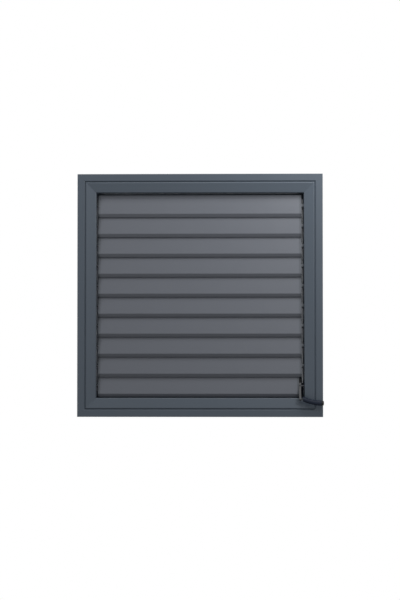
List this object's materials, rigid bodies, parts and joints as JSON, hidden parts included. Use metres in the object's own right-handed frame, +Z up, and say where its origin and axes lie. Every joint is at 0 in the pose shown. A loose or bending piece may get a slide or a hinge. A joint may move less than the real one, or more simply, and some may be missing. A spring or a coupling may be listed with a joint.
{
  "type": "louvred vent grille",
  "caption": "Adjustable louvre vent grille with a mitred frame, tilting blades, a link bar and a side lever.",
  "frame": {"origin": "middle of the wall opening, in the wall plane that the back of the flange rests on", "axes": "+X right as seen from the room, +Y into the wall, +Z up"},
  "size_m": [0.5013, 0.0639, 0.495],
  "materials": {
    "frame_paint": "satin anthracite powder coat",
    "blade_paint": "satin anthracite powder coat",
    "key_metal": "plain",
    "link_metal": "plain",
    "lever_metal": "satin grey paint",
    "rod_steel": "drawn",
    "cap_plastic": "moulded",
    "strip_plastic": "moulded",
    "grip_plastic": "moulded dark blue",
    "tip_plastic": "moulded black"
  },
  "bodies": {
    "frame": {"frame_bottom": "frame_paint", "frame_top": "frame_paint", "frame_left": "frame_paint", "frame_right": "frame_paint", "corner_key_bottom_left": "key_metal", "corner_key_top_left": "key_metal", "corner_key_top_right": "key_metal", "corner_key_bottom_right": "key_metal", "bearing_strip_left": "strip_plastic", "bearing_strip_right": "strip_plastic"},
    "louvre_01": {"blade_01": "blade_paint", "pivot_rod_01": "rod_steel", "end_cap_left_01": "cap_plastic", "end_cap_right_01": "cap_plastic"},
    "louvre_02": {"blade_02": "blade_paint", "pivot_rod_02": "rod_steel", "end_cap_left_02": "cap_plastic", "end_cap_right_02": "cap_plastic"},
    "louvre_03": {"blade_03": "blade_paint", "pivot_rod_03": "rod_steel", "end_cap_left_03": "cap_plastic", "end_cap_right_03": "cap_plastic"},
    "louvre_04": {"blade_04": "blade_paint", "pivot_rod_04": "rod_steel", "end_cap_left_04": "cap_plastic", "end_cap_right_04": "cap_plastic"},
    "louvre_05": {"blade_05": "blade_paint", "pivot_rod_05": "rod_steel", "end_cap_left_05": "cap_plastic", "end_cap_right_05": "cap_plastic"},
    "louvre_06": {"blade_06": "blade_paint", "pivot_rod_06": "rod_steel", "end_cap_left_06": "cap_plastic", "end_cap_right_06": "cap_plastic"},
    "louvre_07": {"blade_07": "blade_paint", "pivot_rod_07": "rod_steel", "end_cap_left_07": "cap_plastic", "end_cap_right_07": "cap_plastic"},
    "louvre_08": {"blade_08": "blade_paint", "pivot_rod_08": "rod_steel", "end_cap_left_08": "cap_plastic", "end_cap_right_08": "cap_plastic"},
    "louvre_09": {"blade_09": "blade_paint", "pivot_rod_09": "rod_steel", "end_cap_left_09": "cap_plastic", "end_cap_right_09": "cap_plastic"},
    "louvre_10": {"blade_10": "blade_paint", "pivot_rod_10": "rod_steel", "end_cap_left_10": "cap_plastic", "end_cap_right_10": "cap_plastic", "lever_arm": "lever_metal", "push_nut": "rod_steel", "lever_grip": "grip_plastic", "grip_tip": "tip_plastic"},
    "link": {"link_bar": "link_metal"}
  },
  "joints": [
    {"name": "louvre_01_turn", "type": "hinge", "parent": "frame", "child": "louvre_01", "pos_m": [0, 0.014, 0.18254], "axis": [-1, 0, 0], "range_deg": [0, 80]},
    {"name": "louvre_02_turn", "type": "hinge", "parent": "frame", "child": "louvre_02", "pos_m": [0, 0.014, 0.14174], "axis": [-1, 0, 0], "range_deg": [0, 80]},
    {"name": "louvre_03_turn", "type": "hinge", "parent": "frame", "child": "louvre_03", "pos_m": [0, 0.014, 0.10094], "axis": [-1, 0, 0], "range_deg": [0, 80]},
    {"name": "louvre_04_turn", "type": "hinge", "parent": "frame", "child": "louvre_04", "pos_m": [0, 0.014, 0.06014], "axis": [-1, 0, 0], "range_deg": [0, 80]},
    {"name": "louvre_05_turn", "type": "hinge", "parent": "frame", "child": "louvre_05", "pos_m": [0, 0.014, 0.01934], "axis": [-1, 0, 0], "range_deg": [0, 80]},
    {"name": "louvre_06_turn", "type": "hinge", "parent": "frame", "child": "louvre_06", "pos_m": [0, 0.014, -0.02146], "axis": [-1, 0, 0], "range_deg": [0, 80]},
    {"name": "louvre_07_turn", "type": "hinge", "parent": "frame", "child": "louvre_07", "pos_m": [0, 0.014, -0.06226], "axis": [-1, 0, 0], "range_deg": [0, 80]},
    {"name": "louvre_08_turn", "type": "hinge", "parent": "frame", "child": "louvre_08", "pos_m": [0, 0.014, -0.10306], "axis": [-1, 0, 0], "range_deg": [0, 80]},
    {"name": "louvre_09_turn", "type": "hinge", "parent": "frame", "child": "louvre_09", "pos_m": [0, 0.014, -0.14386], "axis": [-1, 0, 0], "range_deg": [0, 80]},
    {"name": "lever_turn", "type": "hinge", "parent": "frame", "child": "louvre_10", "pos_m": [0, 0.014, -0.18466], "axis": [-1, 0, 0], "range_deg": [0, 80]},
    {"name": "link_turn", "type": "hinge", "parent": "louvre_10", "child": "link", "pos_m": [0.2088, 0.02626, -0.17437], "axis": [-1, 0, 0], "range_deg": [-80, 0]}
  ],
  "couplings": [
    {"joint": "louvre_01_turn", "follows": "lever_turn", "ratio": 1},
    {"joint": "louvre_02_turn", "follows": "lever_turn", "ratio": 1},
    {"joint": "louvre_03_turn", "follows": "lever_turn", "ratio": 1},
    {"joint": "louvre_04_turn", "follows": "lever_turn", "ratio": 1},
    {"joint": "louvre_05_turn", "follows": "lever_turn", "ratio": 1},
    {"joint": "louvre_06_turn", "follows": "lever_turn", "ratio": 1},
    {"joint": "louvre_07_turn", "follows": "lever_turn", "ratio": 1},
    {"joint": "louvre_08_turn", "follows": "lever_turn", "ratio": 1},
    {"joint": "louvre_09_turn", "follows": "lever_turn", "ratio": 1},
    {"joint": "link_turn", "follows": "lever_turn", "ratio": -1}
  ]
}
